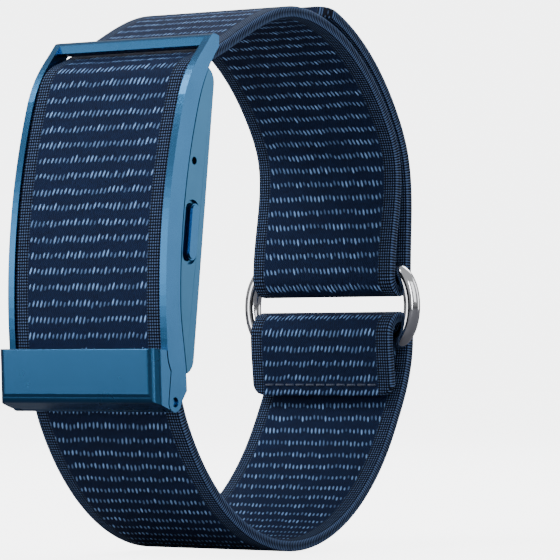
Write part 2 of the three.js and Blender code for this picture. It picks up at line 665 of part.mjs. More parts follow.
function rearCover() {
  const plate = roundedRectangle(coverHalfWidth * 2, coverHalfLength * 2, COVER_CORNER);
  const options = {
    depth: ISLAND_HEIGHT - 0.6,
    bevelThickness: 0.6,
    bevelSize: 0.6,
    bevelSegments: 3,
    curveSegments: 6,
  };
  const island = new THREE.ExtrudeGeometry(
    roundedRectangle(ISLAND_WIDTH - 1.2, ISLAND_LENGTH - 1.2, 4),
    options,
  );
  island.rotateX(-Math.PI / 2);
  const pocket = roundedRectangle(ISLAND_WIDTH - 3, ISLAND_LENGTH - 3, 3);
  let cover = through(plate, coverInnerY, 0)
    .add(solid(island).translate([0, -0.3, 0]).subtract(block([-9, 9], [-2, -0.3], [-9, 9])))
    .subtract(through(pocket, coverInnerY - 0.5, ISLAND_HEIGHT - 1))
    .subtract(rodThrough(WINDOW_RADIUS - 0.5, 0, ISLAND_HEIGHT + 1, 0, 0, 40))
    .subtract(rodThrough(WINDOW_RADIUS + PART_GAP, windowInnerY - PART_GAP, ISLAND_HEIGHT + 1, 0, 0, 40));
  for (const [x, z] of corners()) {
    cover = cover
      .subtract(rodThrough(SCREW_SHANK_RADIUS + 0.1, -2, 1, x, z))
      .subtract(rodThrough(SCREW_HEAD_RADIUS + 0.05, -0.45, 1, x, z));
  }
  for (const x of contactPlaces) {
    cover = cover.subtract(rodThrough(CONTACT_RADIUS + 0.05, -2, 1, x, contactZ));
  }
  return named("rear_cover", cover, "blackPlastic");
}

const windowInnerY = ISLAND_HEIGHT + 0.3 - WINDOW_THICKNESS;
const contactPlaces = [-CONTACT_SPACING / 2, CONTACT_SPACING / 2];

function coverParts() {
  const outer = roundedRectangle(coverHalfWidth * 2, coverHalfLength * 2, COVER_CORNER);
  const inner = roundedRectangle(cavityHalf * 2 + 0.1, cavityHalfLength * 2 + 0.1, COVER_CORNER - 1);
  const gasketBack = coverInnerY - PART_GAP / 2;
  let gasket = through(outer, gasketBack - GASKET_THICKNESS, gasketBack)
    .subtract(through(inner, gasketBack - 1, gasketBack + 1));
  const parts = [rearCover()];
  let index = 0;
  for (const [x, z] of corners()) {
    index += 1;
    const shank = rodThrough(SCREW_SHANK_RADIUS, screwTipY, -0.2, x, z, 14);
    const drive = rodThrough(0.35, -0.25, 0.5, x, z, 6);
    const head = rodThrough(SCREW_HEAD_RADIUS, -0.4, -0.03, x, z, 20).subtract(drive);
    parts.push(named("cover_screw_" + index, shank.add(head), "steel"));
    gasket = gasket.subtract(rodThrough(SCREW_SHANK_RADIUS + 0.15, -3, 1, x, z, 14));
  }
  const glass = rodThrough(WINDOW_RADIUS, windowInnerY, windowInnerY + WINDOW_THICKNESS, 0, 0, 40);
  parts.push(named("cover_gasket", gasket, "rubber"), named("sensor_window", glass, "darkGlass"));
  contactPlaces.forEach((x, i) => {
    const pad = rodThrough(CONTACT_RADIUS, coverInnerY - 0.2, -0.08, x, contactZ);
    parts.push(named("charge_contact_" + (i + 1), pad, "gold"));
  });
  return parts;
}

// ---- Button: cap through the wall, seal behind it, flange inside ----
function buttonParts() {
  const flangeOuter = cavityHalf - SEAL_THICKNESS - PART_GAP;
  const flangeInner = flangeOuter - 0.4;
  const cap = across(buttonOutline(0), flangeInner, halfWidth + BUTTON_PROUD - 0.15, 8);
  const crown = across(buttonOutline(-0.15), halfWidth, halfWidth + BUTTON_PROUD, 8);
  const flange = across(buttonOutline(BUTTON_FLANGE), flangeInner, flangeOuter, 8);
  const ring = across(buttonOutline(BUTTON_FLANGE), flangeOuter + PART_GAP / 2, cavityHalf - PART_GAP / 2, 8)
    .subtract(across(buttonOutline(0.05), 0, halfWidth, 8));
  const switchOuter = flangeInner - BUTTON_TRAVEL - PART_GAP;
  const body = block([switchOuter - 1, switchOuter], [BUTTON_Y - 0.6, BUTTON_Y + 0.6], [BUTTON_Z - 1.5, BUTTON_Z + 1.5]);
  const membrane = rodAcross(VENT_RADIUS + 0.35, cavityHalf - 0.35, cavityHalf - 0.1, VENT_Y + 0.15, VENT_Z, 16);
  return [
    named("button_cap", cap.add(crown).add(flange), "blueMetal"),
    named("button_seal", ring, "rubber"),
    named("button_switch", body, "steel"),
    named("vent_membrane", membrane, "blackPlastic"),
  ];
}

// ---- Electronics inside the case ----
function electronics() {
  const boardHalfLength = cavityHalfLength - BOARD_END_ROOM;
  const partEnd = cavityHalfLength - PART_END_ROOM;
  const aerialEnd = boardHalfLength - 0.4;
  const boardFront = cavityDepth + PART_GAP;
  const boardBack = boardFront + BOARD_THICKNESS;
  const backOfBoard = (z) => frontPoint(boardBack, z).x;
  const outline = new THREE.Shape();
  const start = frontPoint(boardFront, -boardHalfLength);
  const turn = frontPoint(boardBack, boardHalfLength);
  outline.moveTo(start.x, start.y);
  frontArc(outline, boardFront, -boardHalfLength, boardHalfLength);
  outline.lineTo(turn.x, turn.y);
  frontArc(outline, boardBack, boardHalfLength, -boardHalfLength);
  const board = acrossAll(outline, cavityHalf - BOARD_SIDE_ROOM, 6);
  const inner = coverInnerY - PART_GAP;

  const cellFront = backOfBoard(-partEnd) + PART_GAP;
  const [cellLeft, cellRight] = BATTERY_SIDE_ROOM;
  const cellX = [cellLeft - cavityHalf, cavityHalf - cellRight];
  const cell = block(cellX, [cellFront, inner - PART_GAP / 2], [-partEnd, BATTERY_TOP_Z]);
  const shieldFront = backOfBoard(partEnd) + PART_GAP / 2;
  const shield = block(SHIELD_X, [shieldFront, SHIELD_BACK_Y], [SHIELD_LOW_Z, partEnd]);

  const canFront = backOfBoard(MOTOR_Z[1]) + PART_GAP / 2;
  const canBack = inner - PART_GAP / 2;
  const hollow = block(
    inset(MOTOR_X, MOTOR_WALL),
    [canFront - 1, canBack - MASS_GAP],
    inset(MOTOR_Z, MOTOR_WALL),
  );
  const can = block(MOTOR_X, [canFront, canBack], MOTOR_Z).subtract(hollow);
  const mass = block(
    inset(MOTOR_X, MOTOR_WALL + MASS_GAP + MOTOR_TRAVEL),
    [canFront + MASS_GAP / 2, canBack - MASS_GAP * 1.5],
    inset(MOTOR_Z, MOTOR_WALL + MASS_GAP),
  );

  const face = ISLAND_HEIGHT - 2;
  const opticsBack = face - PART_GAP / 2;
  const optics = tile(OPTICS_SIZE, [opticsBack - OPTICS_THICKNESS, opticsBack]);
  const diodes = [];
  [0, -LIGHT_SPACING, LIGHT_SPACING].forEach((x, i) => {
    const light = tile(LIGHT_SIZE, [face, face + LIGHT_THICKNESS], x);
    diodes.push(named("light_" + (i + 1), light, "diode"));
  });
  [-LIGHT_SENSOR_OFFSET, LIGHT_SENSOR_OFFSET].forEach((z, i) => {
    const sensor = tile(LIGHT_SENSOR_SIZE, [face, face + LIGHT_SENSOR_THICKNESS], 0, z);
    diodes.push(named("light_sensor_" + (i + 1), sensor, "darkGlass"));
  });
  const baffle = tile(BAFFLE_OUTER, [face, windowInnerY - 0.15])
    .intersect(rodThrough(WINDOW_RADIUS - 0.65, face - 1, ISLAND_HEIGHT, 0, 0, 32))
    .subtract(tile(BAFFLE_INNER, [face - 1, ISLAND_HEIGHT]));
  const cableBack = coverInnerY - 0.8;
  const cableEnd = CABLE_Z[1];
  const cable = block(CABLE_X, [cableBack - 0.15, cableBack], CABLE_Z)
    .add(block(CABLE_X, [backOfBoard(cableEnd) + PART_GAP / 2, cableBack], [cableEnd - 0.2, cableEnd]));
  const aerialBack = coverInnerY - PART_GAP;
  const aerialX = [-AERIAL_LENGTH / 2, AERIAL_LENGTH / 2];
  const aerial = block(aerialX, [aerialBack - 0.2, aerialBack], [aerialEnd - 1, aerialEnd]);
  return [
    named("main_board", board, "board"),
    named("battery", cell, "cell"),
    named("board_shield", shield, "steel"),
    named("motor_can", can, "steel"),
    named("motor_mass", mass, "steel"),
    named("optical_board", optics, "board"),
    ...diodes,
    named("light_baffle", baffle, "blackPlastic"),
    named("flex_cable", cable, "gold"),
    named("antenna", aerial, "gold"),
  ];
}

// ---- The whole band ----
const tracker = new THREE.Group();
tracker.position.set(0, POD_BACK_Y, POD_MIDDLE_Z);
tracker.rotation.x = -tilt;
tracker.add(outerFrame(), caseShell(), ...coverParts(), ...claspParts());
tracker.add(...buttonParts(), ...electronics());

const fitnessBand = new THREE.Group();
fitnessBand.add(tracker, ...strapParts(), ovalRing());

export default fitnessBand;
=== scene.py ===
# The fitness tracker band's looks: woven strap, anodised frame, chrome ring, light, floor and camera.
import json
import math

import bmesh
import bpy
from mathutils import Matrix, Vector


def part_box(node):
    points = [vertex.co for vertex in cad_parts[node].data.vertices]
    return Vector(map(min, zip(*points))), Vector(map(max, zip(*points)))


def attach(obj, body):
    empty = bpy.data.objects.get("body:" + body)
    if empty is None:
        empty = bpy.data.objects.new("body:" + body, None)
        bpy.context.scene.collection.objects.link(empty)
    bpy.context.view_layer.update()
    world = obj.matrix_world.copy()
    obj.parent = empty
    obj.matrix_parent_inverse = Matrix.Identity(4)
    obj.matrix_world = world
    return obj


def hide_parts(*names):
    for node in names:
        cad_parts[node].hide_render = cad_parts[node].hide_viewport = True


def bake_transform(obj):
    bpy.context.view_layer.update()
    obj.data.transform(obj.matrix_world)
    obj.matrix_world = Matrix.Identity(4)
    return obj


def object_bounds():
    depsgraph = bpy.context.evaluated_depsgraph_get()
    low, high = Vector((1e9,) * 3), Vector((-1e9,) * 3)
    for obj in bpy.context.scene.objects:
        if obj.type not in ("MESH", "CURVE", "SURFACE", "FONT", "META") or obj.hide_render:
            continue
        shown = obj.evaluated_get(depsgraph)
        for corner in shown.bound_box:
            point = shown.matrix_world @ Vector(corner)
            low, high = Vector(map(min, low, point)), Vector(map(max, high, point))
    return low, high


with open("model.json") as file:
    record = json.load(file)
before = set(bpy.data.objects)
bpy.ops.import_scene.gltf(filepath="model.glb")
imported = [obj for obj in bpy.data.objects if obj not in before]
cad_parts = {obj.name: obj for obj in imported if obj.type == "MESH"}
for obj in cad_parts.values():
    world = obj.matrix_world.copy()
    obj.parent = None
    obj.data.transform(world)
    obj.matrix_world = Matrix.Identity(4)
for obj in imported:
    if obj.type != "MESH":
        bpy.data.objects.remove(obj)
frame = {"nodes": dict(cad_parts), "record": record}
cad_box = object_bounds()

MM = 0.001

# ---- Strap, in millimetres ----
STRAP_STEP = 0.35
CURVE_STEPS = 8
EDGE_ROUND = 0.24
EDGE_SWELL = 0.16
EDGE_STEPS = 6
FLAT_STEPS = 26
END_ROUND = 1.6
ROW_PITCH = 1.78
STITCH_PITCH = 0.56
STITCH_HALF_WIDTH = 0.135
STITCH_HALF_LENGTH = 0.31
STITCH_LEAN = 0.3
ROW_WANDER = 0.55
SELVEDGE_BLUR = 0.12
CLOTH_RELIEF = 0.00016  # metres
WOVEN_HALF_WIDTH = 8.35
HATCH_PITCH = 0.66
THREAD_RADIUS = 0.11
THREAD_LENGTH = 1.15
THREAD_PITCH = 1.5
SEAM_INSET = 1.3
TAIL_FOOT = 0.13  # the tail's foot reaches this far past its barrel, towards the fold
THREAD_SIDES = 8
THREAD_STEPS = 8

# ---- Ring ----
RING_STRAIGHT = 9.2  # from the middle to where the bar starts to curve
RING_STEPS = 160
RING_SIDES = 28

# ---- Stage ----
FLOOR_GLOW = 4.9
BACKDROP_GLOW = 5.2

# ---- Camera ----
CAMERA_AZIMUTH = 35
CAMERA_DISTANCE = 0.40
CAMERA_HEIGHT = -0.0108
CAMERA_LENS = 232
CAMERA_AIM = (0.01715, -0.01309, -0.00061)


# ---- Shader graphs ----
class Graph:
    """A material whose sockets can be worked out with arithmetic."""

    def __init__(self, name, **settings):
        self.material = bpy.data.materials.new(name)
        self.material.use_nodes = True
        self.tree = self.material.node_tree
        self.shader = self.tree.nodes["Principled BSDF"]
        for key, value in settings.items():
            self.shader.inputs[key.replace("_", " ")].default_value = value

    def node(self, kind, inputs=None, **settings):
        made = self.tree.nodes.new(kind)
        for key, value in settings.items():
            setattr(made, key, value)
        for key, value in (inputs or {}).items():
            self.put(made.inputs[key], value)
        return made

    def put(self, socket, value):
        if isinstance(value, bpy.types.NodeSocket):
            self.tree.links.new(value, socket)
        else:
            socket.default_value = value

    def math(self, operation, *values):
        made = self.node("ShaderNodeMath", operation=operation)
        for socket, value in zip(made.inputs, values):
            self.put(socket, value)
        return made.outputs[0]

    def add(self, a, b):
        return self.math("ADD", a, b)

    def times(self, a, b):
        return self.math("MULTIPLY", a, b)

    def fade(self, value, start, end):
        """1 below start, falling smoothly to 0 at end, or the other way round."""
        made = self.node("ShaderNodeMapRange", interpolation_type="SMOOTHSTEP")
        ends = {"Value": value, "From Min": start, "From Max": end, "To Min": 1.0, "To Max": 0.0}
        for key, entry in ends.items():
            self.put(made.inputs[key], entry)
        return made.outputs[0]

    def vector(self, x, y, z=0.0):
        return self.node("ShaderNodeCombineXYZ", {"X": x, "Y": y, "Z": z}).outputs[0]

    def place(self):
        return self.node("ShaderNodeTexCoord").outputs["Object"]

    def noise(self, vector, scale, detail=3.0):
        inputs = {"Vector": vector, "Scale": scale, "Detail": detail}
        return self.node("ShaderNodeTexNoise", inputs).outputs[0]

    def random(self, x, y):
        made = self.node("ShaderNodeTexWhiteNoise", {"Vector": self.vector(x, y)}, noise_dimensions="2D")
        return made.outputs["Value"]

    def mix(self, factor, a, b):
        made = self.node("ShaderNodeMix", data_type="RGBA")
        self.put(made.inputs[0], factor)
        self.put(made.inputs[6], a)
        self.put(made.inputs[7], b)
        return made.outputs[2]

    def bump(self, height, depth, below=None):
        made = self.node("ShaderNodeBump", {"Height": height, "Distance": depth})
        if below is not None:
            self.put(made.inputs["Normal"], below)
        return made.outputs[0]

    def finish(self, **sockets):
        for key, value in sockets.items():
            self.put(self.shader.inputs[key.replace("_", " ")], value)
        return self.material


def woven(name, ground, weave, stitch, selvedge_light):
    """Ribbed nylon: rows of short leaning stitches on a fine ground, with plain cross-woven edges and
    painted shade in the groove beside them.
    """
    g = Graph(name, Roughness=0.8, Specular_IOR_Level=0.14)
    uv = g.node("ShaderNodeSeparateXYZ", {"Vector": g.node("ShaderNodeUVMap").outputs[0]})
    u = uv.outputs[0]
    v = uv.outputs[1]
    wander = g.noise(g.vector(u, v), 0.28, 2.0)
    moved = g.add(v, g.times(g.add(wander, -0.5), ROW_WANDER))
    row_place = g.math("DIVIDE", moved, ROW_PITCH)
    row = g.math("FLOOR", row_place)
    from_row = g.times(g.add(g.math("FRACT", row_place), -0.5), ROW_PITCH)
    shifted = g.add(g.add(u, g.times(from_row, STITCH_LEAN)), g.times(g.random(row, 3.0), STITCH_PITCH))
    column_place = g.math("DIVIDE", shifted, STITCH_PITCH)
    column = g.math("FLOOR", column_place)
    from_column = g.times(g.add(g.math("FRACT", column_place), -0.5), STITCH_PITCH)
    chance = g.random(column, row)
    other = g.random(row, column)
    half_length = g.add(STITCH_HALF_LENGTH - 0.05, g.times(chance, 0.16))
    lifted = g.add(from_row, g.times(g.add(other, -0.5), 0.22))
    across = g.math("POWER", g.math("ABSOLUTE", g.times(from_column, 1 / STITCH_HALF_WIDTH)), 2.0)
    along = g.math("POWER", g.math("ABSOLUTE", g.math("DIVIDE", lifted, half_length)), 2.0)
    reach = g.math("SQRT", g.add(across, along))
    side = g.math("ABSOLUTE", u)
    body = g.fade(side, WOVEN_HALF_WIDTH - SELVEDGE_BLUR, WOVEN_HALF_WIDTH + SELVEDGE_BLUR)
    thread = g.times(g.fade(reach, 0.7, 1.2), body)
    dome = g.times(g.math("SQRT", g.math("MAXIMUM", g.add(1.0, g.times(reach, -0.6)), 0.0)), thread)

    warp = g.math("SINE", g.times(shifted, math.tau / (STITCH_PITCH / 2)))
    weft = g.math("SINE", g.times(moved, math.tau / (ROW_PITCH / 5)))
    mesh = g.add(g.times(g.times(warp, weft), 0.5), 0.5)
    rise = g.math("SINE", g.times(g.add(u, v), math.tau / HATCH_PITCH))
    fall = g.math("SINE", g.times(g.add(u, g.times(v, -1.0)), math.tau / HATCH_PITCH))
    hatch = g.add(g.times(g.times(rise, fall), 0.5), 0.5)
    # Mask of the groove beside each selvedge: it sinks the bump, and it also carries painted shade into the
    # colour.
    groove_and_shade = g.fade(g.math("ABSOLUTE", g.add(side, -WOVEN_HALF_WIDTH - 0.1)), 0.0, 0.22)

    blotch = g.noise(g.vector(g.times(u, 0.35), v), 0.9, 3.0)
    flecks = g.fade(g.noise(g.vector(g.times(u, 2.2), g.times(v, 0.9)), 2.6, 2.0), 0.66, 0.48)
    grain = g.times(g.add(g.times(mesh, 0.55), g.times(blotch, 0.5)), g.add(1.0, g.times(flecks, -0.45)))
    cloth = g.mix(grain, ground, weave)
    dots = g.times(g.fade(hatch, 0.78, 0.52), g.add(0.6, g.times(blotch, 0.7)))
    edge = g.mix(dots, (*(c * 0.6 for c in ground[:3]), 1), selvedge_light)
    plain = g.mix(body, edge, cloth)
    shade = g.add(0.3, g.times(other, 0.7))
    bright = g.mix(shade, weave, stitch)
    colour = g.mix(g.times(thread, g.add(0.62, g.times(chance, 0.38))), plain, bright)
    # Painted shade: the groove beside each selvedge is darkened towards near-black in the colour.
    colour = g.mix(g.times(groove_and_shade, 0.45), colour, (0.0015, 0.003, 0.01, 1))

    beside = g.add(1.0, g.times(body, -1.0))
    fine = g.add(g.times(mesh, g.times(body, 0.35)), g.times(hatch, g.times(beside, 0.5)))
    height = g.add(g.add(dome, fine), g.times(groove_and_shade, -0.6))
    hairs = g.bump(g.noise(g.vector(g.times(u, 3.0), g.times(v, 3.0)), 3.5, 4.0), 0.00004)
    return g.finish(Base_Color=colour, Normal=g.bump(height, CLOTH_RELIEF, hairs))


def anodised(name, colour, roughness=0.27):
    """Dyed aluminium with a very fine grain and faint rubbing."""
    g = Graph(name, Metallic=1.0)
    place = g.place()
    rubbed = g.noise(place, 180.0, 4.0)
    grain = g.noise(place, 9000.0, 2.0)
    tone = g.mix(g.fade(rubbed, 0.3, 0.75), colour, (*(c * 1.06 for c in colour[:3]), 1))
    rough = g.add(roughness - 0.02, g.times(rubbed, 0.04))
    return g.finish(Base_Color=tone, Roughness=rough, Normal=g.bump(grain, 0.0000012))


def polished(name, colour, roughness, scratch=0.04):
    """Bright metal with hairline handling marks."""
    g = Graph(name, Metallic=1.0)
    place = g.place()
    stretched = g.node("ShaderNodeMapping", {"Vector": place, "Scale": (120.0, 2600.0, 2600.0)}).outputs[0]
    lines = g.noise(stretched, 1.0, 3.0)
    cloud = g.noise(place, 400.0, 2.0)
    tone = g.mix(cloud, colour, (*(c * 0.93 for c in colour[:3]), 1))
    rough = g.add(roughness, g.times(lines, scratch))
    return g.finish(Base_Color=tone, Roughness=rough, Normal=g.bump(lines, 0.0000015))


def moulded(name, colour, roughness, grain_scale=5200.0, depth=0.000006, **settings):
    """Moulded plastic or rubber with a fine spark-eroded texture."""
    g = Graph(name, **settings)
    place = g.place()
    grain = g.noise(place, grain_scale, 3.0)
    wear = g.noise(place, 260.0, 3.0)
    tone = g.mix(wear, colour, (*(c * 1.3 + 0.004 for c in colour[:3]), 1))
    return g.finish(
        Base_Color=tone, Roughness=g.add(roughness, g.times(wear, 0.12)), Normal=g.bump(grain, depth)
    )


def circuit(name):
    """Green solder mask with copper tracks and pale pads."""
    g = Graph(name, Roughness=0.4, Coat_Weight=0.3)
    place = g.place()
    bricks = g.node("ShaderNodeTexBrick", {"Vector": place, "Scale": 420.0, "Mortar Size": 0.03})
    cells = g.node("ShaderNodeTexVoronoi", {"Vector": place, "Scale": 900.0}).outputs["Distance"]
    tracks = g.mix(bricks.outputs[1], (0.012, 0.08, 0.035, 1), (0.03, 0.16, 0.06, 1))
    tone = g.mix(g.fade(cells, 0.12, 0.2), tracks, (0.62, 0.5, 0.26, 1))
    return g.finish(Base_Color=tone, Normal=g.bump(cells, 0.00001))


def hooks(name):
    """Hook tape: close rows of tiny stems."""
    g = Graph(name, Roughness=0.85)
    place = g.place()
    stems = g.node("ShaderNodeTexVoronoi", {"Vector": place, "Scale": 2200.0}).outputs["Distance"]
    tone = g.mix(g.fade(stems, 0.1, 0.5), (0.004, 0.008, 0.02, 1), (0.035, 0.06, 0.13, 1))
    return g.finish(Base_Color=tone, Normal=g.bump(stems, 0.00018))


def thread_material(name):
    """Twisted sewing thread."""
    g = Graph(name, Roughness=0.6, Sheen_Weight=0.3)
    twist = g.node("ShaderNodeTexWave", {"Vector": g.place(), "Scale": 1400.0, "Distortion": 2.0}).outputs[1]
    tone = g.mix(twist, (0.003, 0.009, 0.03, 1), (0.011, 0.03, 0.09, 1))
    return g.finish(Base_Color=tone, Normal=g.bump(twist, 0.00002))


BLUE = (0.032, 0.118, 0.25, 1)
MATERIALS = {
    "blue": anodised("blue_anodised", BLUE),
    "blue_case": anodised("blue_anodised_case", (0.045, 0.145, 0.27, 1), 0.33),
    "chrome": polished("polished_chrome", (0.68, 0.69, 0.72, 1), 0.07),
    "steel": polished("brushed_steel", (0.55, 0.56, 0.58, 1), 0.28, 0.2),
    "gold": polished("gold_plate", (0.83, 0.6, 0.25, 1), 0.2, 0.12),
    "cover": moulded("black_moulding", (0.012, 0.013, 0.016, 1), 0.42),
    "rubber": moulded("seal_rubber", (0.02, 0.02, 0.022, 1), 0.75, 7000.0, 0.00001),
    "window": moulded(
        "optical_window", (0.004, 0.005, 0.008, 1), 0.04, 900.0, 0.0000005, Coat_Weight=1.0
    ),
    "diode": moulded("clear_resin", (0.5, 0.6, 0.32, 1), 0.2),
    "cell": moulded("battery_foil", (0.5, 0.51, 0.54, 1), 0.3, 1500.0, 0.00002, Metallic=0.7),
    "board": circuit("circuit_board"),
    "hooks": hooks("hook_tape"),
    "thread": thread_material("sewing_thread"),
    "cloth": woven(
        "woven_strap",
        ground=(0.0007, 0.0026, 0.012, 1),
        weave=(0.004, 0.0145, 0.055, 1),
        stitch=(0.2, 0.37, 0.72, 1),
        selvedge_light=(0.05, 0.09, 0.19, 1),
    ),
}
NODE_MATERIALS = {
    "blue": ["outer_frame", "clasp_lever", "clasp_pin", "button_cap"],
    "blue_case": ["case_shell"],
    "chrome": ["oval_ring"],
    "steel": ["button_switch", "board_shield", "motor_can", "motor_mass"],
    "gold": ["charge_contact_1", "charge_contact_2", "flex_cable", "antenna"],
    "cover": ["rear_cover", "vent_membrane", "light_baffle"],
    "rubber": ["cover_gasket", "button_seal"],
    "window": ["sensor_window", "light_sensor_1", "light_sensor_2"],
    "diode": ["light_1", "light_2", "light_3"],
    "cell": ["battery"],
    "board": ["main_board", "optical_board"],
    "hooks": ["hook_patch"],
    "cloth": ["strap_main", "strap_tail"],
}
EDGE_BREAKS = {
    "outer_frame": 0.26,
    "clasp_lever": 0.22,
    "case_shell": 0.12,
    "button_cap": 0.1,
    "rear_cover": 0.06,
    "sensor_window": 0.12,
}


def dress_cad_nodes():
    for i in range(1, 5):
        NODE_MATERIALS["steel"].append("cover_screw_%d" % i)
    for key, names in NODE_MATERIALS.items():
        for name in names:
            node = frame["nodes"][name]
            node.data.materials.clear()
            node.data.materials.append(MATERIALS[key])
            soften(node, EDGE_BREAKS.get(name, 0.03))


def soften(node, width):
    """Smooth shading with a small machined edge break, without touching the solid itself."""
    node.data.polygons.foreach_set("use_smooth", [True] * len(node.data.polygons))
    flat = node.modifiers.new("flat_faces", "DECIMATE")
    flat.decimate_type = "DISSOLVE"
    flat.angle_limit = math.radians(0.3)
    bevel = node.modifiers.new("edge_break", "BEVEL")
    bevel.width = width * MM
    bevel.segments = 3
    bevel.limit_method = "ANGLE"
    bevel.angle_limit = math.radians(32)
    bevel.harden_normals = True
    bevel.use_clamp_overlap = True


# ---- Strap ----
def end_outline(name):
    """The solid's side view as an ordered closed line of (y, z) points, read from its +X end."""
    mesh = bmesh.new()
    mesh.from_mesh(frame["nodes"][name].data)
    bmesh.ops.remove_doubles(mesh, verts=mesh.verts, dist=1e-6)
    side = max(v.co.x for v in mesh.verts)
    links = {}
    for edge in mesh.edges:
        if any(abs(v.co.x - side) > 1e-6 for v in edge.verts):
            continue
        if sum(abs(f.normal.x) > 0.9 for f in edge.link_faces) != 1:
            continue
        a, b = (v.index for v in edge.verts)
        links.setdefault(a, []).append(b)
        links.setdefault(b, []).append(a)
    mesh.verts.ensure_lookup_table()
    first = min(links)
    order = [first]
    previous = None
    while True:
        following = next(i for i in links[order[-1]] if i != previous)
        previous = order[-1]
        if following == first:
            break
        order.append(following)
    line = [Vector((mesh.verts[i].co.y, mesh.verts[i].co.z)) / MM for i in order]
    mesh.free()
    area = sum(a.x * b.y - b.x * a.y for a, b in zip(line, line[1:] + line[:1]))
    return line if area > 0 else line[::-1]


def turn_at(line, i):
    before = line[i] - line[i - 1]
    after = line[(i + 1) % len(line)] - line[i]
    return math.degrees(math.atan2(before.x * after.y - before.y * after.x, before.dot(after)))


def square_ends(line):
    """Where the outline has a square end: the index of the first of its two corners."""
    found = []
    for i in range(len(line)):
        if turn_at(line, i) > 60 and turn_at(line, (i + 1) % len(line)) > 60:
            found.append(i)
    return found


def smooth_line(points, step):
    """A curve through the points, in even steps."""
    dense = []
    for i in range(len(points) - 1):
        a = points[max(i - 1, 0)]
        b = points[i]
        c = points[i + 1]
        d = points[min(i + 2, len(points) - 1)]
        for k in range(CURVE_STEPS):
            t = k / CURVE_STEPS
            square = (2 * a - 5 * b + 4 * c - d) * t * t
            cube = (3 * b - a - 3 * c + d) * t ** 3
            dense.append(0.5 * (2 * b + (c - a) * t + square + cube))
    dense.append(points[-1])
    even = [dense[0]]
    left = step
    for a, b in zip(dense, dense[1:]):
        span = (b - a).length
        place = left
        while place <= span:
            even.append(a.lerp(b, place / span))
            place += step
        left = place - span
    even.append(dense[-1])
    return even


def normals_of(line):
    made = []
    for i in range(len(line)):
        along = (line[min(i + 1, len(line) - 1)] - line[max(i - 1, 0)]).normalized()
        made.append(Vector((-along.y, along.x)))
    return made


def section(half_width, half_thickness):
    """The strap's cross-section as (x, depth) points: flat faces, with thinner rolled edges."""
    flat = half_width - EDGE_ROUND
    upper = [(-flat + 2 * flat * i / FLAT_STEPS, half_thickness) for i in range(FLAT_STEPS + 1)]
    right = []
    for i in range(1, EDGE_STEPS):
        angle = math.pi / 2 - math.pi * i / EDGE_STEPS
        right.append((flat + EDGE_ROUND * math.cos(angle), half_thickness * math.sin(angle)))
    lower = [(x, -d) for x, d in reversed(upper)]
    left = [(-x, -d) for x, d in right]
    return upper + right + lower + left


def ribbon(name, line, half_width, half_thickness, start_v=0.0, round_end=False):
    """A strap along a (y, z) line, with UVs in millimetres: across, and along."""
    profile = section(half_width, half_thickness)
    sides = normals_of(line)
    mesh = bmesh.new()
    uv_layer = mesh.loops.layers.uv.new("UVMap")
    rings = []
    run = start_v
    for i, (point, side) in enumerate(zip(line, sides)):
        if i:
            run += (point - line[i - 1]).length
        from_end = (line[-1] - point).length if round_end and i > len(line) / 2 else END_ROUND
        if from_end < END_ROUND:
            inset = END_ROUND - math.sqrt(END_ROUND ** 2 - (END_ROUND - from_end) ** 2)
        else:
            inset = 0.0
        squeeze = (half_width - inset) / half_width
        ring = []
        for x, depth in profile:
            place = point + side * depth
            ring.append((mesh.verts.new(Vector((x * squeeze, place.x, place.y)) * MM), x * squeeze, run))
        rings.append(ring)
    count = len(profile)
    for low, high in zip(rings, rings[1:]):
        for k in range(count):
            corners = [low[k], low[(k + 1) % count], high[(k + 1) % count], high[k]]
            face = mesh.faces.new([c[0] for c in corners])
            for loop, corner in zip(face.loops, corners):
                loop[uv_layer].uv = (corner[1], corner[2])
    for ring, turned in ((rings[0], True), (rings[-1], False)):
        corners = ring[::-1] if turned else ring
        face = mesh.faces.new([c[0] for c in corners])
        for loop, corner in zip(face.loops, corners):
            loop[uv_layer].uv = (corner[1], corner[2])
    bmesh.ops.recalc_face_normals(mesh, faces=mesh.faces)
    return as_object(name, mesh)


def as_object(name, mesh):
    data = bpy.data.meshes.new(name)
    for face in mesh.faces:
        face.smooth = len(face.verts) == 4
    mesh.to_mesh(data)
    mesh.free()
    made = bpy.data.objects.new(name, data)
    bpy.context.scene.collection.objects.link(made)
    return made


def strap_lines():
    """Centrelines of the main strap (flap to fold) and of the tail (fold to tip), in millimetres."""
    low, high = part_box("strap_main")
    half_width = (high[0] - low[0]) / 2 / MM + EDGE_SWELL
    outline = end_outline("strap_main")
    first, second = square_ends(outline)
    turned = outline[first + 1:] + outline[:first + 1]
    span = (second - first) % len(outline)
    one_side = turned[:span]
    half_thickness = (outline[first] - outline[(first + 1) % len(outline)]).length / 2
    even = smooth_line(one_side, STRAP_STEP)
    main = [p + n * half_thickness for p, n in zip(even, normals_of(even))]

    outline = end_outline("strap_tail")
    tip = square_ends(outline)[0]
    turned = outline[tip + 1:] + outline[:tip + 1]
    pivot = next(j for j in frame["record"]["behaviour"]["joints"] if j["name"] == "tail_peel")["pos_m"]
    hinge = Vector(pivot[1:]) / MM
    one_side = []
    for point in turned:
        if (point - hinge).length < half_thickness * 1.05:
            break
        one_side.append(point)
    even = smooth_line(one_side, STRAP_STEP)
    tail = [p + n * half_thickness for p, n in zip(even, normals_of(even))]
    tail = [p for p in tail if (p - hinge).length > STRAP_STEP]
    foot = Vector((hinge.x, hinge.y - half_thickness - TAIL_FOOT))
    tail = smooth_line([foot, hinge] + tail[::-1], STRAP_STEP)
    return main, tail, hinge, half_width, half_thickness


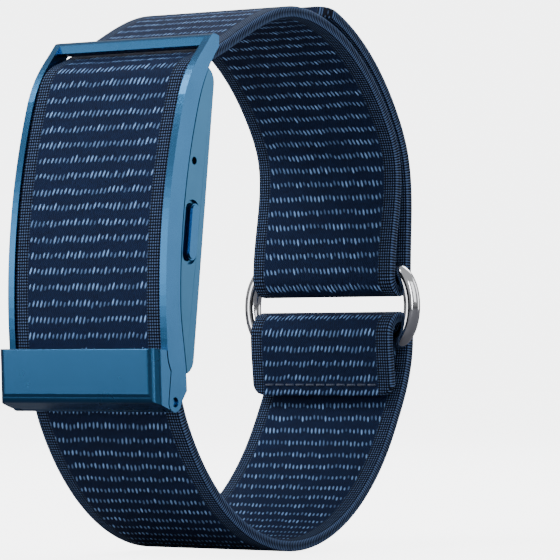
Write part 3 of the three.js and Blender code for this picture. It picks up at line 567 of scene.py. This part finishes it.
def make_strap():
    main, tail, hinge, half_width, half_thickness = strap_lines()
    if (main[0] - hinge).length < (main[-1] - hinge).length:
        main = main[::-1]
    run = sum((b - a).length for a, b in zip(main, main[1:]))
    strap = ribbon("strap_woven", main[::-1], half_width, half_thickness, 0.0, round_end=True)
    tail_piece = ribbon("tail_woven", tail, half_width, half_thickness, -run, round_end=True)
    for piece in (strap, tail_piece):
        piece.data.materials.append(MATERIALS["cloth"])
    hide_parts("strap_main")
    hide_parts("strap_tail")
    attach(strap, "tracker_and_strap")
    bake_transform(tail_piece)
    sew("flap_seam", main, SEAM_INSET, half_width, half_thickness, "tracker_and_strap")
    sew("tail_seam", tail[::-1], SEAM_INSET, half_width, half_thickness, "tail")


def sew(name, line, inset, half_width, half_thickness, body):
    """A row of thread stitches across both faces of the strap, near the line's first point."""
    run = 0.0
    i = 0
    while run < inset:
        run += (line[i + 1] - line[i]).length
        i += 1
    side = normals_of(line)[i]
    mesh = bmesh.new()
    count = int((half_width * 2 - 3) / THREAD_PITCH)
    for face in (-1, 1):
        middle = line[i] + side * face * (half_thickness + 0.02)
        for k in range(count):
            x = (k - (count - 1) / 2) * THREAD_PITCH
            arc_thread(mesh, x, middle, side * face)
    piece = as_object(name, mesh)
    piece.data.materials.append(MATERIALS["thread"])
    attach(piece, body)


def arc_thread(mesh, x, middle, outward):
    """One stitch: a short thread that rises out of the cloth and dives back in."""
    rings = []
    for i in range(THREAD_STEPS + 1):
        t = i / THREAD_STEPS - 0.5
        lift = THREAD_RADIUS * (1.1 - 6.0 * t * t)
        centre = middle + outward * lift
        ring = []
        for k in range(THREAD_SIDES):
            angle = math.tau * k / THREAD_SIDES
            swell = THREAD_RADIUS * math.cos(angle)
            away = THREAD_RADIUS * math.sin(angle)
            flat = Vector((outward.y, -outward.x)) * away
            place = centre + outward * swell + flat
            ring.append(mesh.verts.new(Vector((x + t * THREAD_LENGTH, place.x, place.y)) * MM))
        rings.append(ring)
    for low, high in zip(rings, rings[1:]):
        for k in range(THREAD_SIDES):
            after = (k + 1) % THREAD_SIDES
            mesh.faces.new((low[k], low[after], high[after], high[k]))
    mesh.faces.new(rings[0][::-1])
    mesh.faces.new(rings[-1])
    bmesh.ops.recalc_face_normals(mesh, faces=mesh.faces)


# ---- Ring ----
def make_ring():
    low, high = (Vector(corner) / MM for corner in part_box("oval_ring"))
    middle = (low + high) / 2
    wire = (high.y - low.y) / 2
    rise = (high.z - low.z) / 2 - wire
    bulge = (high.x - low.x) / 2 - wire - RING_STRAIGHT
    quarter = RING_STEPS // 4
    path = []
    for side in (1, -1):
        for i in range(quarter):
            x = -side * RING_STRAIGHT + side * 2 * RING_STRAIGHT * i / quarter
            path.append(Vector((x, 0, -side * rise)))
        for i in range(quarter):
            angle = math.pi * (i / quarter - 0.5)
            x = side * (RING_STRAIGHT + bulge * math.cos(angle))
            path.append(Vector((x, 0, side * rise * math.sin(angle))))
    mesh = bmesh.new()
    rings = []
    for i, point in enumerate(path):
        along = (path[(i + 1) % len(path)] - path[i - 1]).normalized()
        outward = along.cross(Vector((0, 1, 0)))
        ring = []
        for k in range(RING_SIDES):
            angle = math.tau * k / RING_SIDES
            offset = outward * (wire * math.cos(angle)) + Vector((0, wire * math.sin(angle), 0))
            ring.append(mesh.verts.new((middle + point + offset) * MM))
        rings.append(ring)
    for i, ring in enumerate(rings):
        following = rings[(i + 1) % len(rings)]
        for k in range(RING_SIDES):
            after = (k + 1) % RING_SIDES
            mesh.faces.new((ring[k], ring[after], following[after], following[k]))
    bmesh.ops.recalc_face_normals(mesh, faces=mesh.faces)
    ring = as_object("ring_polished", mesh)
    ring.data.materials.append(MATERIALS["chrome"])
    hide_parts("oval_ring")
    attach(ring, "ring")


# ---- Stage ----
def make_floor():
    """A pale floor that looks bright to the camera, but reflects dark and gives off no light."""
    mesh = bmesh.new()
    bmesh.ops.create_grid(mesh, x_segments=2, y_segments=2, size=3.0)
    floor = as_object("floor", mesh)
    floor.location.z = cad_box[0][2] - 0.0003
    g = Graph("pale_floor", Roughness=0.9, Emission_Color=(0.96, 0.97, 0.98, 1))
    tone = g.mix(g.noise(g.place(), 30.0, 2.0), (0.5, 0.5, 0.51, 1), (0.53, 0.53, 0.53, 1))
    path = g.node("ShaderNodeLightPath")
    seen = path.outputs["Is Camera Ray"]
    tone = g.mix(path.outputs["Is Glossy Ray"], tone, (0.06, 0.06, 0.07, 1))
    floor.data.materials.append(g.finish(Base_Color=tone, Emission_Strength=g.times(seen, FLOOR_GLOW)))


def area_light(name, azimuth, elevation, distance, size, power, aim=(0.0, 0.0, 0.0)):
    """A soft box. Azimuth 0 stands on the -Y side and 90 on the +X side."""
    light = bpy.data.lights.new(name, "AREA")
    light.shape = "RECTANGLE"
    light.size, light.size_y = size
    light.energy = power
    lamp = bpy.data.objects.new(name, light)
    turn = math.radians(azimuth)
    lift = math.radians(elevation)
    way = Vector((math.sin(turn) * math.cos(lift), -math.cos(turn) * math.cos(lift), math.sin(lift)))
    lamp.location = Vector(aim) + way * distance
    lamp.rotation_euler = way.to_track_quat("Z", "Y").to_euler()
    bpy.context.scene.collection.objects.link(lamp)


def make_lights():
    area_light("key", -25, 50, 0.6, (0.4, 0.25), 4.0)
    area_light("lip", 38, 14, 0.9, (0.1, 0.6), 3.0)
    area_light("side", 138, 12, 0.6, (0.22, 0.5), 0.8)
    area_light("fill", 82, 22, 0.7, (0.4, 0.4), 1.2)
    area_light("front", -38, 7, 0.8, (0.34, 0.26), 1.0)
    area_light("back", 190, 45, 0.6, (0.4, 0.3), 2.5)
    world = bpy.data.worlds.new("studio")
    world.use_nodes = True
    tree = world.node_tree
    tree.nodes.clear()
    plain = tree.nodes.new("ShaderNodeBackground")
    plain.inputs["Color"].default_value = (0.95, 0.96, 0.97, 1)
    plain.inputs["Strength"].default_value = BACKDROP_GLOW
    soft = tree.nodes.new("ShaderNodeBackground")
    soft.inputs["Strength"].default_value = 0.55
    place = tree.nodes.new("ShaderNodeTexCoord")
    split = tree.nodes.new("ShaderNodeSeparateXYZ")
    ramp = tree.nodes.new("ShaderNodeValToRGB")
    ramp.color_ramp.elements[0].position = 0.4
    ramp.color_ramp.elements[0].color = (0.02, 0.02, 0.025, 1)
    ramp.color_ramp.elements[1].position = 0.68
    ramp.color_ramp.elements[1].color = (1, 1, 1, 1)
    lift = tree.nodes.new("ShaderNodeMath")
    lift.operation = "MULTIPLY_ADD"
    lift.inputs[1].default_value = 0.5
    lift.inputs[2].default_value = 0.5
    path = tree.nodes.new("ShaderNodeLightPath")
    choose = tree.nodes.new("ShaderNodeMixShader")
    out = tree.nodes.new("ShaderNodeOutputWorld")
    tree.links.new(place.outputs["Generated"], split.inputs[0])
    tree.links.new(split.outputs["Z"], lift.inputs[0])
    tree.links.new(lift.outputs[0], ramp.inputs[0])
    tree.links.new(ramp.outputs[0], soft.inputs["Color"])
    tree.links.new(path.outputs["Is Camera Ray"], choose.inputs[0])
    tree.links.new(soft.outputs[0], choose.inputs[1])
    tree.links.new(plain.outputs[0], choose.inputs[2])
    tree.links.new(choose.outputs[0], out.inputs["Surface"])
    bpy.context.scene.world = world


def make_camera():
    camera = bpy.data.cameras.new("camera")
    camera.lens = CAMERA_LENS
    camera.clip_start = 0.01
    holder = bpy.data.objects.new("camera", camera)
    turn = math.radians(CAMERA_AZIMUTH)
    aim = Vector(CAMERA_AIM)
    holder.location = aim + Vector((math.sin(turn), -math.cos(turn), 0)) * CAMERA_DISTANCE
    holder.location.z = CAMERA_HEIGHT
    holder.rotation_euler = (aim - holder.location).to_track_quat("-Z", "Y").to_euler()
    bpy.context.scene.collection.objects.link(holder)
    bpy.context.scene.camera = holder


make_camera()
dress_cad_nodes()
make_strap()
make_ring()
make_floor()
make_lights()
